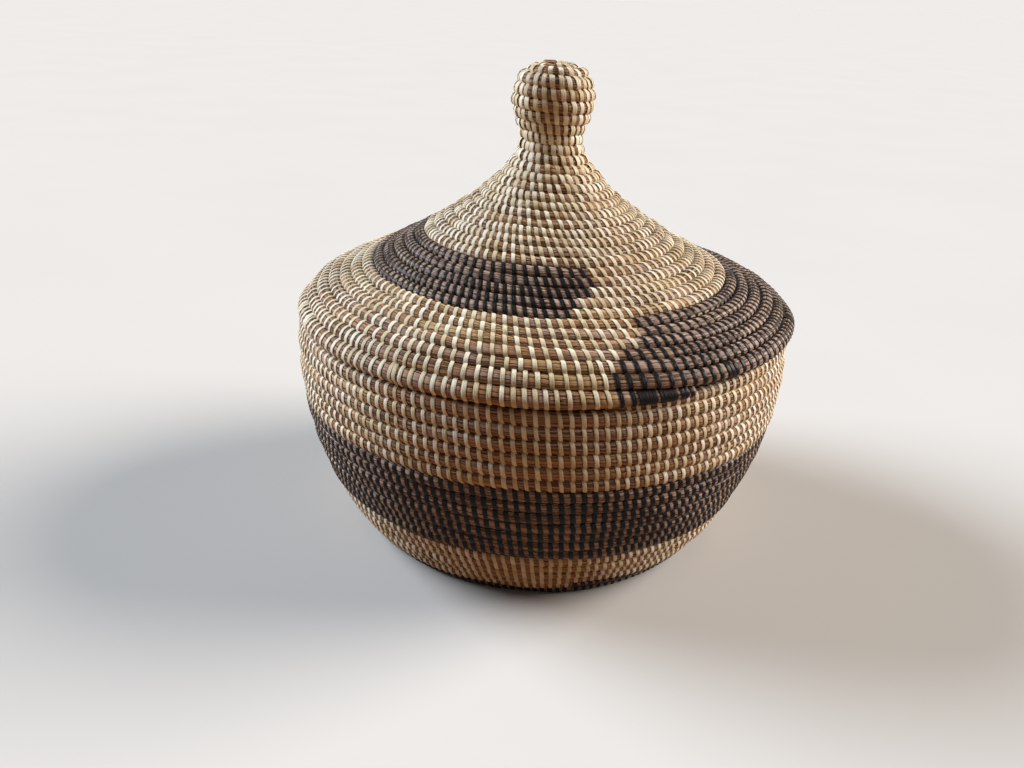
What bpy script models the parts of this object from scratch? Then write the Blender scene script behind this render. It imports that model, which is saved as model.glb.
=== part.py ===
"""Coiled grass storage basket with a lift-off lid that carries a knob.

Metres, +Z up. The origin is the centre of the flat underside, on the surface that the
basket stands on. -Y is the front, where the two coils end.

The bowl is one long bundle of grass, laid round in a rising spiral and sewn to the turn
below it, and the lid is a second one. Each node is a real length of such a bundle. It is
parted from the next where the sewing strip changes its colour or the form changes, and
the two ends at a parting lie face to face. The sewing strips are surface finish.
"""

import math

import bpy
import numpy as np

# Bowl, outer sizes
BELLY_RADIUS = 0.1900
RIM_HEIGHT = 0.1745
# Outline from the foot to the rim, as shares of the two sizes
WALL_RADIUS_SHARES = (0.7474, 0.8232, 0.9105, 0.9689, 1.0, 0.9916)
WALL_HEIGHT_SHARES = (0.0172, 0.1347, 0.3364, 0.5473, 0.8596, 1.0)

# Lid, outer sizes: the overhang is past the rim, the height is without the knob's core
LID_OVERHANG = 0.0021
NECK_RADIUS = 0.0213
KNOB_RADIUS = 0.0299
LID_HEIGHT = 0.1832
# Cone from the edge to the crown, the knob's shoulder, and all heights from the edge up
CONE_RADIUS_SHARES = (1.0, 0.9528, 0.7003, 0.4451, 0.2352)
KNOB_SHOULDER_SHARE = 0.786
LID_HEIGHT_SHARES = (0.0404, 0.0944, 0.2276, 0.3777, 0.5382, 0.6987, 0.8734, 0.9716, 1.0)

# Bundles: the spacing of the turns, and the clearances between them
BOWL_PITCH = 0.0096
LID_EDGE_PITCH = 0.0112
LID_CONE_PITCH = 0.0092
LID_CROWN_PITCH = 0.0076
KNOB_PITCH = 0.0080
TURN_GAP = 0.00068
END_GAP = 0.00035
SEAT_GAP = 0.00035
TAIL_TIP_DIAMETER = 0.0040
TAIL_MIDDLE_DIAMETER = 0.0064

# Core of the knob, the start of the lid's bundle, which stands proud of the knob
CORE_RADIUS = 0.0058
CORE_PROUD = 0.0025
CORE_DEPTH = 0.0120
CORE_ROUNDING = 0.0012

# Ring under the lid that keeps it centred in the mouth
RING_WALL = 0.0085
RING_DEPTH = 0.0240
RING_ROUNDING = 0.0020
MOUTH_CLEARANCE = 0.0025
FLOOR_ROUNDING = 0.0008

# Turns of the wall from the floor up, and of the lid from its edge in
FOOT_TURNS = 1.0
LOWER_TURNS = 4.5
BAND_TURNS = 7.0
RIM_TURNS = 1.0
LID_EDGE_TURNS = 1.0
LID_OUTER_TURNS = 6.5
LID_MIDDLE_TURNS = 5.0
LID_UPPER_TURNS = 8.0

# Points on a wide turn and on a small one, and the fineness of the outlines
WIDE_TURN_POINTS = 16
SMALL_TURN_POINTS = 8
ROUND_STEPS = 32
COIL_RESOLUTION = 1
STATION_STEPS = 60
SAMPLES_PER_RUN = 36
PROFILE_SPOTS = 12
MERGE_DISTANCE = 0.00001
COUNT_SLACK = 0.000001

TURN = 2.0 * math.pi
# A tube has six sides, with a corner outwards and a flat side up and down
FACET_HALF = TURN / 12.0
WIDE_STEP = TURN / WIDE_TURN_POINTS
SMALL_STEP = TURN / SMALL_TURN_POINTS
# Both coils end at the front, halfway along a run. The tapered tail of the lid's coil lies
# on the tapered tail of the rim's, which carries the lid
RIM_TIP_ANGLE = -3.5 * WIDE_STEP
LID_TIP_ANGLE = -2.5 * WIDE_STEP

WALL_RADII = [BELLY_RADIUS * share for share in WALL_RADIUS_SHARES]
WALL_HEIGHTS = [RIM_HEIGHT * share for share in WALL_HEIGHT_SHARES]
LID_RADIUS = WALL_RADII[-1] + LID_OVERHANG
LID_RADII = [LID_RADIUS * share for share in CONE_RADIUS_SHARES]
LID_RADII += [NECK_RADIUS, KNOB_RADIUS, KNOB_RADIUS * KNOB_SHOULDER_SHARE, 0.0]
LID_HEIGHTS = [LID_HEIGHT * share for share in LID_HEIGHT_SHARES]
WALL_PITCH_SHARES = (0.0, 1.0)
WALL_PITCHES = (BOWL_PITCH, BOWL_PITCH)
LID_PITCH_SHARES = (0.0, 0.02, 0.06, 0.38, 0.58, 0.80, 1.0)
LID_PITCHES = (
    LID_EDGE_PITCH, LID_EDGE_PITCH, LID_CONE_PITCH, LID_CONE_PITCH,
    LID_CROWN_PITCH, KNOB_PITCH, KNOB_PITCH,
)

# Colour and roughness of the sewn bundles and of bare grass
CREAM = ((0.56, 0.44, 0.29, 1.0), 0.65)
BLACK = ((0.075, 0.058, 0.055, 1.0), 0.42)
GRASS = ((0.26, 0.15, 0.09, 1.0), 0.80)


def smooth_line(radii: list, heights: list) -> np.ndarray:
    """Returns points on a smooth curve through an outline, as rows of radius, height."""
    knots = np.stack([radii, heights], axis=1)
    chords = np.linalg.norm(np.diff(knots, axis=0), axis=1)
    places = np.concatenate([[0.0], np.cumsum(chords)])
    slopes = np.empty_like(knots)
    runs = np.diff(knots, axis=0) / chords[:, None]
    weights = chords[:-1, None] / (chords[:-1] + chords[1:])[:, None]
    slopes[1:-1] = runs[:-1] * (1.0 - weights) + runs[1:] * weights
    slopes[0] = 1.5 * runs[0] - 0.5 * slopes[1]
    slopes[-1] = 1.5 * runs[-1] - 0.5 * slopes[-2]
    line = [knots[0]]
    for index, chord in enumerate(np.diff(places)):
        for share in np.arange(1, STATION_STEPS + 1) / STATION_STEPS:
            square, cube = share ** 2, share ** 3
            line.append(
                knots[index] * (2 * cube - 3 * square + 1)
                + slopes[index] * chord * (cube - 2 * square + share)
                + knots[index + 1] * (3 * square - 2 * cube)
                + slopes[index + 1] * chord * (cube - square)
            )
    return np.array(line)


def lengths_along(line: np.ndarray) -> np.ndarray:
    """Returns each point's distance from the start, along the line."""
    return np.concatenate([[0.0], np.cumsum(np.linalg.norm(np.diff(line, axis=0), axis=1))])


class Coil:
    """A bundle wound inside an outline, clockwise seen from above as the turns count up."""

    def __init__(self, radii: list, heights: list, shares: tuple, pitches: tuple,
                 start_angle: float, whole: bool) -> None:
        """Lays the middle line of the turns half a pitch inside the outline.

        Args:
            radii: Radii of the outline's points, in the order the turns count.
            heights: Heights of the same points.
            shares: Shares of the outline's length at which the pitches are given.
            pitches: Spacing of the turns at those shares.
            start_angle: Angle about +Z at which the turns start to count.
            whole: Whether the turns are rounded to a whole number, by their spacing.
        """
        outline = smooth_line(radii, heights)
        places = lengths_along(outline)
        spacing = np.interp(places / places[-1], shares, pitches)
        along = np.gradient(outline, axis=0)
        along /= np.linalg.norm(along, axis=1)[:, None]
        inward = np.stack([-along[:, 1], along[:, 0]], axis=1)
        self.middle = outline + inward * (spacing - TURN_GAP)[:, None] / 2.0
        places = lengths_along(self.middle)
        steps = np.diff(places) / ((spacing[:-1] + spacing[1:]) / 2.0)
        counts = np.concatenate([[0.0], np.cumsum(steps)])
        stretch = max(1, round(counts[-1])) / counts[-1] if whole else 1.0
        self.counts = counts * stretch
        self.spacing = spacing / stretch
        self.start_angle = start_angle
        self.turns = float(self.counts[-1])

    def angle(self, turn: float) -> float:
        """Returns the angle about +Z at a count of turns."""
        return self.start_angle - TURN * turn

    def point(self, turn: float) -> np.ndarray:
        """Returns the middle of the bundle at a count of turns."""
        radius = np.interp(turn, self.counts, self.middle[:, 0])
        height = np.interp(turn, self.counts, self.middle[:, 1])
        angle = self.angle(turn)
        return np.array([radius * math.cos(angle), radius * math.sin(angle), height])

    def thickness(self, turn: float, step: float) -> float:
        """Returns the bundle's diameter, which leaves the gap between straight runs."""
        spacing = np.interp(turn, self.counts, self.spacing)
        return float(spacing * math.cos(step / 2.0) - TURN_GAP)

    def corners(self, first: float, last: float, step: float) -> list:
        """Returns the counts of turns between two counts at whole steps of angle."""
        lead = self.start_angle / step
        low = math.floor(lead - first * TURN / step - COUNT_SLACK)
        high = math.ceil(lead - last * TURN / step + COUNT_SLACK)
        return [(lead - index) * step / TURN for index in range(low, high - 1, -1)]


class Length:
    """One length of a coil between two counts of turns, as points and radii."""

    def __init__(self, coil: Coil, first: float, last: float, step: float,
                 first_step: float = WIDE_STEP) -> None:
        """Runs straight between whole steps of angle, from one parting to the next.

        Args:
            coil: The coil that the length is cut from.
            first: Count of turns at which the length starts.
            last: Count of turns at which the length ends.
            step: Angle that each straight run spans.
            first_step: Angle that the first run spans, as in the length before this one.
        """
        inner = coil.corners(first, last, step)
        lead = coil.corners(first, last, first_step)[0]
        if lead < inner[0] - COUNT_SLACK:
            inner.insert(0, lead)
        before, after = inner[0] - first_step / TURN, inner[-1] + step / TURN
        turns = [first, *inner, last]
        points = [coil.point(turn) for turn in turns]
        points[0] = self.between(coil, before, inner[0], first)
        points[-1] = self.between(coil, inner[-1], after, last)
        self.turns = np.array(turns)
        self.points = np.array(points)
        self.radii = np.array([coil.thickness(turn, step) / 2.0 for turn in turns])
        self.radii[0] = coil.thickness(first, first_step) / 2.0

    @staticmethod
    def between(coil: Coil, low: float, high: float, turn: float) -> np.ndarray:
        """Returns the point of the straight run from low to high at a count of turns."""
        share = (turn - low) / (high - low)
        return coil.point(low) * (1.0 - share) + coil.point(high) * share

    def draw_back(self, end: int, gap: float) -> None:
        """Shortens the run at one end, 0 or -1, by a gap."""
        beside = 1 if end == 0 else -2
        run = self.points[end] - self.points[beside]
        self.points[end] -= run / np.linalg.norm(run) * gap

    def taper(self, coil: Coil, end: int, beside: float) -> None:
        """Thins the tail at one end to its tip, and keeps it against the turn beside it.

        Args:
            coil: The coil that the length is cut from.
            end: 0 for the tail at the start of the length, -1 for the one at its end.
            beside: Turns from the tail to the turn that it lies against.
        """
        order = (0, 1) if end == 0 else (-1, -2)
        for index, diameter in zip(order, (TAIL_TIP_DIAMETER, TAIL_MIDDLE_DIAMETER)):
            turn = self.turns[index]
            towards = coil.point(turn + beside) - coil.point(turn)
            thinned = self.radii[index] - diameter / 2.0
            self.points[index] += towards / np.linalg.norm(towards) * thinned
            self.radii[index] = diameter / 2.0

    def dense(self) -> tuple:
        """Returns samples along the straight runs, with the radius at each."""
        spots = np.arange(0.0, len(self.points) - 1.0 + 0.5 / SAMPLES_PER_RUN, 1.0 / SAMPLES_PER_RUN)
        index = np.arange(len(self.points))
        samples = np.stack([np.interp(spots, index, self.points[:, axis]) for axis in range(3)], axis=1)
        return samples, np.interp(spots, index, self.radii)

    def least_gap(self) -> float:
        """Returns the least gap between turns of this length, measured on samples."""
        samples, radii = self.dense()
        angles = np.unwrap(np.arctan2(samples[:, 1], samples[:, 0]))
        least = math.inf
        for index in range(len(samples)):
            others = np.abs(angles - angles[index]) > TURN / 2.0
            if others.any():
                away = np.linalg.norm(samples[others] - samples[index], axis=1)
                least = min(least, float((away - radii[others] - radii[index]).min()))
        return least


def facet_height(beside: np.ndarray, reach: np.ndarray) -> np.ndarray:
    """Returns how far six-sided sections reach up or down at a distance beside their middle.

    Args:
        beside: Level distance from the middle of each section.
        reach: Distance from each middle to its corners, without the seat gap.

    Returns:
        The height from the middle to the sides of the section, grown by the seat gap.
    """
    grown = reach + SEAT_GAP / math.cos(FACET_HALF)
    flat = grown * math.cos(FACET_HALF)
    slope = (grown - beside) / math.tan(FACET_HALF)
    return np.where(beside < grown, np.minimum(flat, slope), -math.inf)


def seat_height(upper: tuple, lower: tuple) -> float:
    """Returns how far the upper tubes move up to lie a seat gap clear of the lower ones.

    Args:
        upper: Samples and radii of the tubes that are seated.
        lower: Samples and radii of the tubes that carry them.

    Returns:
        The least height that keeps every pair of samples clear.
    """
    height = -math.inf
    for sample, radius in zip(*upper):
        beside = np.hypot(*(lower[0][:, :2] - sample[:2]).T)
        rise = lower[0][:, 2] - sample[2] + facet_height(beside, lower[1] + radius)
        height = max(height, float(rise.max()))
    return height


def clear_scene() -> None:
    """Removes every object of the open file."""
    for item in list(bpy.data.objects):
        bpy.data.objects.remove(item, do_unlink=True)


def material(name: str, look: tuple) -> bpy.types.Material:
    """Makes a Principled material from a colour and a roughness."""
    colour, roughness = look
    made = bpy.data.materials.new(name)
    made.use_nodes = True
    shader = made.node_tree.nodes["Principled BSDF"]
    shader.inputs["Base Color"].default_value = colour
    shader.inputs["Roughness"].default_value = roughness
    shader.inputs["Metallic"].default_value = 0.0
    made.diffuse_color = colour
    return made


def place(item: bpy.types.Object, group: bpy.types.Collection, parent: bpy.types.Object) -> None:
    """Puts an object in the part's collection under its body's empty, where it stands."""
    group.objects.link(item)
    item.parent = parent
    item.matrix_parent_inverse = parent.matrix_world.inverted()


def tube(name: str, length: Length, lift: float, look: tuple) -> bpy.types.Object:
    """Makes the round bundle of a length of coil as a curve with filled ends."""
    curve = bpy.data.curves.new(name, "CURVE")
    curve.dimensions = "3D"
    curve.use_fill_caps = True
    curve.bevel_resolution = COIL_RESOLUTION
    curve.bevel_depth = float(length.radii.max())
    spline = curve.splines.new("POLY")
    spline.points.add(len(length.points) - 1)
    for knot, point, radius in zip(spline.points, length.points, length.radii):
        knot.co = (point[0], point[1], point[2] + lift, 1.0)
        knot.radius = radius / curve.bevel_depth
    spline.use_smooth = True
    curve.materials.append(material(name, look))
    return bpy.data.objects.new(name, curve)


def turned(name: str, profile: list, look: tuple) -> bpy.types.Object:
    """Turns a profile of (radius, height), which runs down its outer side, about +Z."""
    mesh = bpy.data.meshes.new(name)
    closed = [(index, (index + 1) % len(profile)) for index in range(len(profile))]
    edges = closed if profile[0][0] > 0.0 else closed[:-1]
    mesh.from_pydata([(radius, 0.0, height) for radius, height in profile], edges, [])
    mesh.materials.append(material(name, look))
    made = bpy.data.objects.new(name, mesh)
    screw = made.modifiers.new("turn", "SCREW")
    screw.axis = "Z"
    screw.steps = ROUND_STEPS
    screw.render_steps = ROUND_STEPS
    screw.use_merge_vertices = True
    screw.merge_threshold = MERGE_DISTANCE
    screw.use_smooth_shade = False
    return made


def floor_disc(coil: Coil) -> bpy.types.Object:
    """Makes the flat floor, whose edge follows the first turn of the wall's coil."""
    thickness = coil.thickness(0.0, WIDE_STEP)
    setback = thickness / 2.0 + SEAT_GAP
    foot = Length(coil, 0.0, 1.0, WIDE_STEP)
    radii = np.hypot(foot.points[:, 0], foot.points[:, 1])
    inset = (radii - setback / math.cos(WIDE_STEP / 2.0)) / radii
    outline = foot.points[:, :2] * inset[:, None]
    curve = bpy.data.curves.new("floor_coil", "CURVE")
    curve.dimensions = "2D"
    curve.fill_mode = "BOTH"
    curve.extrude = (thickness - 2.0 * FLOOR_ROUNDING) / 2.0
    curve.bevel_depth = FLOOR_ROUNDING
    curve.bevel_resolution = 0
    curve.offset = -FLOOR_ROUNDING
    spline = curve.splines.new("POLY")
    spline.points.add(len(outline) - 1)
    for knot, point in zip(spline.points, outline):
        knot.co = (point[0], point[1], 0.0, 1.0)
    spline.use_cyclic_u = True
    curve.materials.append(material("floor_coil", CREAM))
    made = bpy.data.objects.new("floor_coil", curve)
    made.location.z = thickness / 2.0
    return made


def rounded(low: float, high: float, top: float, bottom: float, edge: float) -> list:
    """Returns a ring section with cut corners, down its outer side and up its inner one."""
    return [
        (high - edge, top), (high, top - edge), (high, bottom + edge), (high - edge, bottom),
        (low + edge, bottom), (low, bottom + edge), (low, top - edge), (low + edge, top),
    ]


def room_under(roof: tuple, low: float, high: float) -> float:
    """Returns the greatest height at which a ring stays a seat gap below the tubes over it.

    Args:
        roof: Samples and radii of the tubes over the ring.
        low: The ring's inner radius.
        high: The ring's outer radius.

    Returns:
        The height of the ring's top, which has its corners cut.
    """
    samples, radii = roof
    reach = np.hypot(samples[:, 0], samples[:, 1])
    top = math.inf
    spots = np.linspace(low, high, PROFILE_SPOTS)
    drops = np.clip(RING_ROUNDING - np.minimum(spots - low, high - spots), 0.0, None)
    for spot, drop in zip(spots, drops):
        room = samples[:, 2] - facet_height(np.abs(reach - spot), radii)
        top = min(top, float(room.min()) + drop)
    return top


def locating_ring(wall: tuple, roof: tuple, lift: float) -> bpy.types.Object:
    """Makes the ring that hangs from the lid's underside just inside the mouth.

    Args:
        wall: Samples and radii of the tubes round the ring.
        roof: Samples and radii of the tubes over the ring, before the lid is lifted.
        lift: Height that the lid's tubes are lifted by.

    Returns:
        The ring, a seat gap below the roof and a clearance inside the wall.
    """
    samples, radii = wall
    tops = samples[:, 2] + radii
    mouth = tops > tops.max() - RING_DEPTH
    reach = np.hypot(samples[mouth, 0], samples[mouth, 1])
    outer = float((reach - radii[mouth]).min()) - MOUTH_CLEARANCE
    inner = outer - RING_WALL
    top = room_under(roof, inner, outer) + lift
    profile = rounded(inner, outer, top, top - RING_DEPTH, RING_ROUNDING)
    return turned("lid_locating_ring", profile, CREAM)


def knob_core(last: Length, lift: float) -> bpy.types.Object:
    """Makes the bundle's start, which stands proud inside the last turn of the knob."""
    top = float(last.points[-1, 2] + last.radii[-1]) + lift + CORE_PROUD
    bottom = top - CORE_DEPTH
    profile = [
        (0.0, top), (CORE_RADIUS - CORE_ROUNDING, top), (CORE_RADIUS, top - CORE_ROUNDING),
        (CORE_RADIUS, bottom + CORE_ROUNDING), (CORE_RADIUS - CORE_ROUNDING, bottom), (0.0, bottom),
    ]
    return turned("knob_core", profile, GRASS)


def build() -> None:
    """Builds every node and prints the least gap of each length of coil."""
    clear_scene()
    group = bpy.data.collections.new("coiled_basket")
    bpy.context.scene.collection.children.link(group)
    basket = bpy.data.objects.new("basket_body", None)
    lid = bpy.data.objects.new("lid_body", None)
    group.objects.link(basket)
    group.objects.link(lid)

    wall = Coil(WALL_RADII, WALL_HEIGHTS, WALL_PITCH_SHARES, WALL_PITCHES, RIM_TIP_ANGLE, True)
    lower = FOOT_TURNS + LOWER_TURNS
    marks = [0.0, FOOT_TURNS, lower, lower + BAND_TURNS, wall.turns - RIM_TURNS, wall.turns]
    names = ("foot_coil", "lower_wall_coil", "dark_band_coil", "upper_wall_coil", "rim_coil")
    looks = (BLACK, CREAM, BLACK, CREAM, CREAM)
    lengths = [Length(wall, first, last, WIDE_STEP) for first, last in zip(marks, marks[1:])]
    lengths[-1].taper(wall, -1, -1.0)
    for length in lengths:
        length.draw_back(0, END_GAP / 2.0)
        length.draw_back(-1, END_GAP / 2.0)
    place(floor_disc(wall), group, basket)
    for name, length, look in zip(names, lengths, looks):
        place(tube(name, length, 0.0, look), group, basket)
        print(name, "least gap mm", round(length.least_gap() * 1000.0, 3))
    carrier = samples_of(lengths)

    cover = Coil(LID_RADII, LID_HEIGHTS, LID_PITCH_SHARES, LID_PITCHES, LID_TIP_ANGLE, False)
    inmost = CORE_RADIUS + SEAT_GAP + cover.thickness(cover.turns, SMALL_STEP) / 2.0
    heart = float(np.interp(-inmost / math.cos(SMALL_STEP / 2.0), -cover.middle[:, 0], cover.counts))
    marks = [0.0, LID_EDGE_TURNS, LID_EDGE_TURNS + LID_OUTER_TURNS]
    marks += [marks[-1] + LID_MIDDLE_TURNS, marks[-1] + LID_MIDDLE_TURNS + LID_UPPER_TURNS]
    names = ("lid_edge_coil", "lid_outer_coil", "lid_middle_coil", "lid_upper_coil")
    lengths = [Length(cover, first, last, WIDE_STEP) for first, last in zip(marks, marks[1:])]
    lengths.append(Length(cover, marks[-1], heart, SMALL_STEP))
    lengths[0].taper(cover, 0, 1.0)
    lift = seat_height(samples_of(lengths[:2]), carrier)
    for length in lengths:
        length.draw_back(0, END_GAP / 2.0)
        length.draw_back(-1, END_GAP / 2.0)
    for name, length in zip((*names, "lid_knob_coil"), lengths):
        place(tube(name, length, lift, CREAM), group, lid)
        print(name, "least gap mm", round(length.least_gap() * 1000.0, 3))
    place(locating_ring(carrier, samples_of(lengths[:-1]), lift), group, lid)
    place(knob_core(lengths[-1], lift), group, lid)
    print("turns", wall.turns, cover.turns, "lid lift mm", round(lift * 1000.0, 2))


def samples_of(lengths: list) -> tuple:
    """Returns the samples and radii of several lengths together."""
    parts = [length.dense() for length in lengths]
    return np.concatenate([part[0] for part in parts]), np.concatenate([part[1] for part in parts])


build()
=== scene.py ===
"""Dresses the coiled grass basket: two wound bundles of brown grass, sewn with flat strips.

Each bundle follows the same spiral as its solid, but as a smooth one. It is sewn round by
round with cream or black strips. Every strip comes out beside a strip of the round before
it, goes over the bundle and dips into the round before again on the inner side, so the
strips stand in columns that lean forward in the order of the work.
"""

import logging
import math
from collections.abc import Callable
from dataclasses import dataclass, field
from enum import Enum
from functools import partialmethod

import bpy
import numpy as np
from mathutils import Matrix, Vector


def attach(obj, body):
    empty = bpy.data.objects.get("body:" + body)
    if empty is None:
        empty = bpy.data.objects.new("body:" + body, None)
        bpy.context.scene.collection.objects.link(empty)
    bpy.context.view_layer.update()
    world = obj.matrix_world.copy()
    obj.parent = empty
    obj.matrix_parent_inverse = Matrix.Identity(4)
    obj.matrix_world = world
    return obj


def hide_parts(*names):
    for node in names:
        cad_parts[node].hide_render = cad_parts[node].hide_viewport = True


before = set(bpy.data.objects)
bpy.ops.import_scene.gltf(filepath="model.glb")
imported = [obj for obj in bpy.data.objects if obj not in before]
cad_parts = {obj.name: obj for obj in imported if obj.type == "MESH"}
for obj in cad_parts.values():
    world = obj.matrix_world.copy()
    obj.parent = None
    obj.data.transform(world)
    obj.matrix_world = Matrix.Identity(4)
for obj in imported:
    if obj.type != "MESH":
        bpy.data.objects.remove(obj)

LOG = logging.getLogger("basket")
TURN = 2.0 * math.pi
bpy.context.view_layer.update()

# Outlines of the bowl and the lid, the same as the solids', in metres
BELLY_RADIUS = 0.1900
RIM_HEIGHT = 0.1745
WALL_RADIUS_SHARES = (0.7474, 0.8232, 0.9105, 0.9689, 1.0, 0.9916)
WALL_HEIGHT_SHARES = (0.0172, 0.1347, 0.3364, 0.5473, 0.8596, 1.0)
LID_OVERHANG = 0.0021
NECK_RADIUS = 0.0232
KNOB_RADIUS = 0.0299
KNOB_SHOULDER_SHARE = 0.786
LID_HEIGHT = 0.1832
LID_REST_HEIGHT = 0.1729
CONE_RADIUS_SHARES = (1.0, 0.9528, 0.7003, 0.4451, 0.2352)
LID_HEIGHT_SHARES = (0.0404, 0.0944, 0.2276, 0.3777, 0.5382, 0.6987, 0.8734, 0.9716, 1.0)
TURN_GAP = 0.00068
BOWL_PITCH = 0.0096
LID_PITCH_SHARES = (0.0, 0.02, 0.06, 0.38, 0.58, 0.80, 1.0)
LID_PITCHES = (0.0112, 0.0112, 0.0092, 0.0092, 0.0076, 0.0080, 0.0080)
RIM_TIP_ANGLE = math.radians(-78.75)
LID_TIP_DEGREES = -56.25
LID_TIP_ANGLE = math.radians(LID_TIP_DEGREES)
STEPS_PER_SPAN = 60
FLOOR_LEVEL = 0.0004

Numbers = float | np.ndarray
Choice = Callable[[np.ndarray], np.ndarray]


def linear(red: float, green: float, blue: float) -> tuple:
    """Returns a colour seen on a screen, 0 to 255, as linear light with full alpha."""
    parts = (value / 255.0 for value in (red, green, blue))
    return (*(v / 12.92 if v <= 0.04045 else ((v + 0.055) / 1.055) ** 2.4 for v in parts), 1.0)


@dataclass(frozen=True)
class Value:
    """A shader value that takes part in Python expressions, each of which adds Math nodes."""

    nodes: "Nodes"
    socket: bpy.types.NodeSocket

    def maths(self, operation: str, *others: object) -> "Value":
        """Returns the result of one Math node on this and any others."""
        terms = dict(enumerate((self, *others)))
        made = self.nodes.node("ShaderNodeMath", {"operation": operation}, terms)
        return Value(self.nodes, made.outputs[0])

    __add__ = __radd__ = partialmethod(maths, "ADD")
    __sub__ = partialmethod(maths, "SUBTRACT")
    __rsub__ = partialmethod(maths, "MULTIPLY_ADD", -1.0)
    __mul__ = __rmul__ = partialmethod(maths, "MULTIPLY")
    __abs__ = partialmethod(maths, "ABSOLUTE")
    whole = partialmethod(maths, "FLOOR")

    def ramp(self, low: float, high: float) -> "Value":
        """Returns 0 below low and 1 above high, and a smooth rise between them."""
        made = self.nodes.node(
            "ShaderNodeMapRange", {"interpolation_type": "SMOOTHSTEP"}, {0: self, 1: low, 2: high}
        )
        return Value(self.nodes, made.outputs[0])


class Nodes:
    """The nodes of a material or of the world."""

    def __init__(self, tree: bpy.types.NodeTree) -> None:
        """Keeps the tree that the nodes are added to."""
        self.tree = tree

    def node(self, kind: str, settings: dict, inputs: dict) -> bpy.types.Node:
        """Adds a node.

        Args:
            kind: The node's type.
            settings: Its own settings, set first.
            inputs: Values or links of its inputs, by their name or number.

        Returns:
            The node.
        """
        made = self.tree.nodes.new(kind)
        for name, value in settings.items():
            if name == "stops":
                self.set_stops(made.color_ramp, value)
            else:
                setattr(made, name, value)
        for name, value in inputs.items():
            self.feed(made.inputs[name], value)
        return made

    def feed(self, socket: bpy.types.NodeSocket, value: object) -> None:
        """Links or sets an input.

        Args:
            socket: The input.
            value: A value or an output to link, or a number or a colour to set.
        """
        source = value.socket if isinstance(value, Value) else value
        if isinstance(source, bpy.types.NodeSocket):
            self.tree.links.new(source, socket)
        else:
            socket.default_value = source

    def background_share(self) -> Value:
        """Tells the rays that show the background, straight or through gloss, from the light's.

        Returns:
            A value that is 1 for those rays and 0 for the rest.
        """
        path = self.node("ShaderNodeLightPath", {}, {}).outputs
        share = Value(self, path["Is Camera Ray"])
        for name in ("Is Glossy Ray", "Is Transmission Ray"):
            share = share.maths("MAXIMUM", path[name])
        return share

    @staticmethod
    def set_stops(ramp: bpy.types.ColorRamp, stops: list) -> None:
        """Gives a colour ramp its stops.

        Args:
            ramp: The ramp, which has two stops to begin with.
            stops: Pairs of place and colour.
        """
        for index, (place, colour) in enumerate(stops):
            stop = ramp.elements[index] if index < 2 else ramp.elements.new(place)
            stop.position = place
            stop.color = colour


class Surface(Nodes):
    """A material that is put together from nodes."""

    def __init__(self, name: str) -> None:
        """Starts a material with a Principled shader."""
        self.material = bpy.data.materials.new(name)
        self.material.use_nodes = True
        super().__init__(self.material.node_tree)
        self.shader = self.tree.nodes["Principled BSDF"]

    def uv(self, name: str) -> tuple[Value, Value]:
        """Returns the two coordinates of one of the piece's UV maps."""
        place = self.node("ShaderNodeUVMap", {"uv_map": name}, {}).outputs[0]
        split = self.node("ShaderNodeSeparateXYZ", {}, {0: place})
        return Value(self, split.outputs[0]), Value(self, split.outputs[1])

    def point(self, *parts: object) -> bpy.types.NodeSocket:
        """Returns a vector of up to three parts."""
        return self.node("ShaderNodeCombineXYZ", {}, dict(enumerate(parts))).outputs[0]

    def noise(self, place: bpy.types.NodeSocket, scale: float, detail: float) -> Value:
        """Returns a noise of 0 to 1 at a place."""
        made = self.node("ShaderNodeTexNoise", {}, {"Vector": place, "Scale": scale, "Detail": detail})
        return Value(self, made.outputs[0])

    def blend(self, share: object, first: object, second: object, way: str = "MIX") -> bpy.types.NodeSocket:
        """Returns two colours mixed by a share."""
        inputs = {0: share, 6: first, 7: second}
        return self.node("ShaderNodeMix", {"data_type": "RGBA", "blend_type": way}, inputs).outputs[2]

    def grey(self, value: Value) -> bpy.types.NodeSocket:
        """Returns a value as a grey colour."""
        return self.node("ShaderNodeCombineColor", {}, {0: value, 1: value, 2: value}).outputs[0]

    def bump(self, height: Value, distance: float, strength: float) -> None:
        """Raises the surface by a height."""
        inputs = {"Height": height, "Distance": distance, "Strength": strength}
        self.feed(self.shader.inputs["Normal"], self.node("ShaderNodeBump", {}, inputs).outputs[0])

    def finish(self, settings: dict) -> bpy.types.Material:
        """Feeds the shader.

        Args:
            settings: Values or links of its sockets, by their name.

        Returns:
            The finished material.
        """
        for name, value in settings.items():
            self.feed(self.shader.inputs[name], value)
        return self.material


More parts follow.
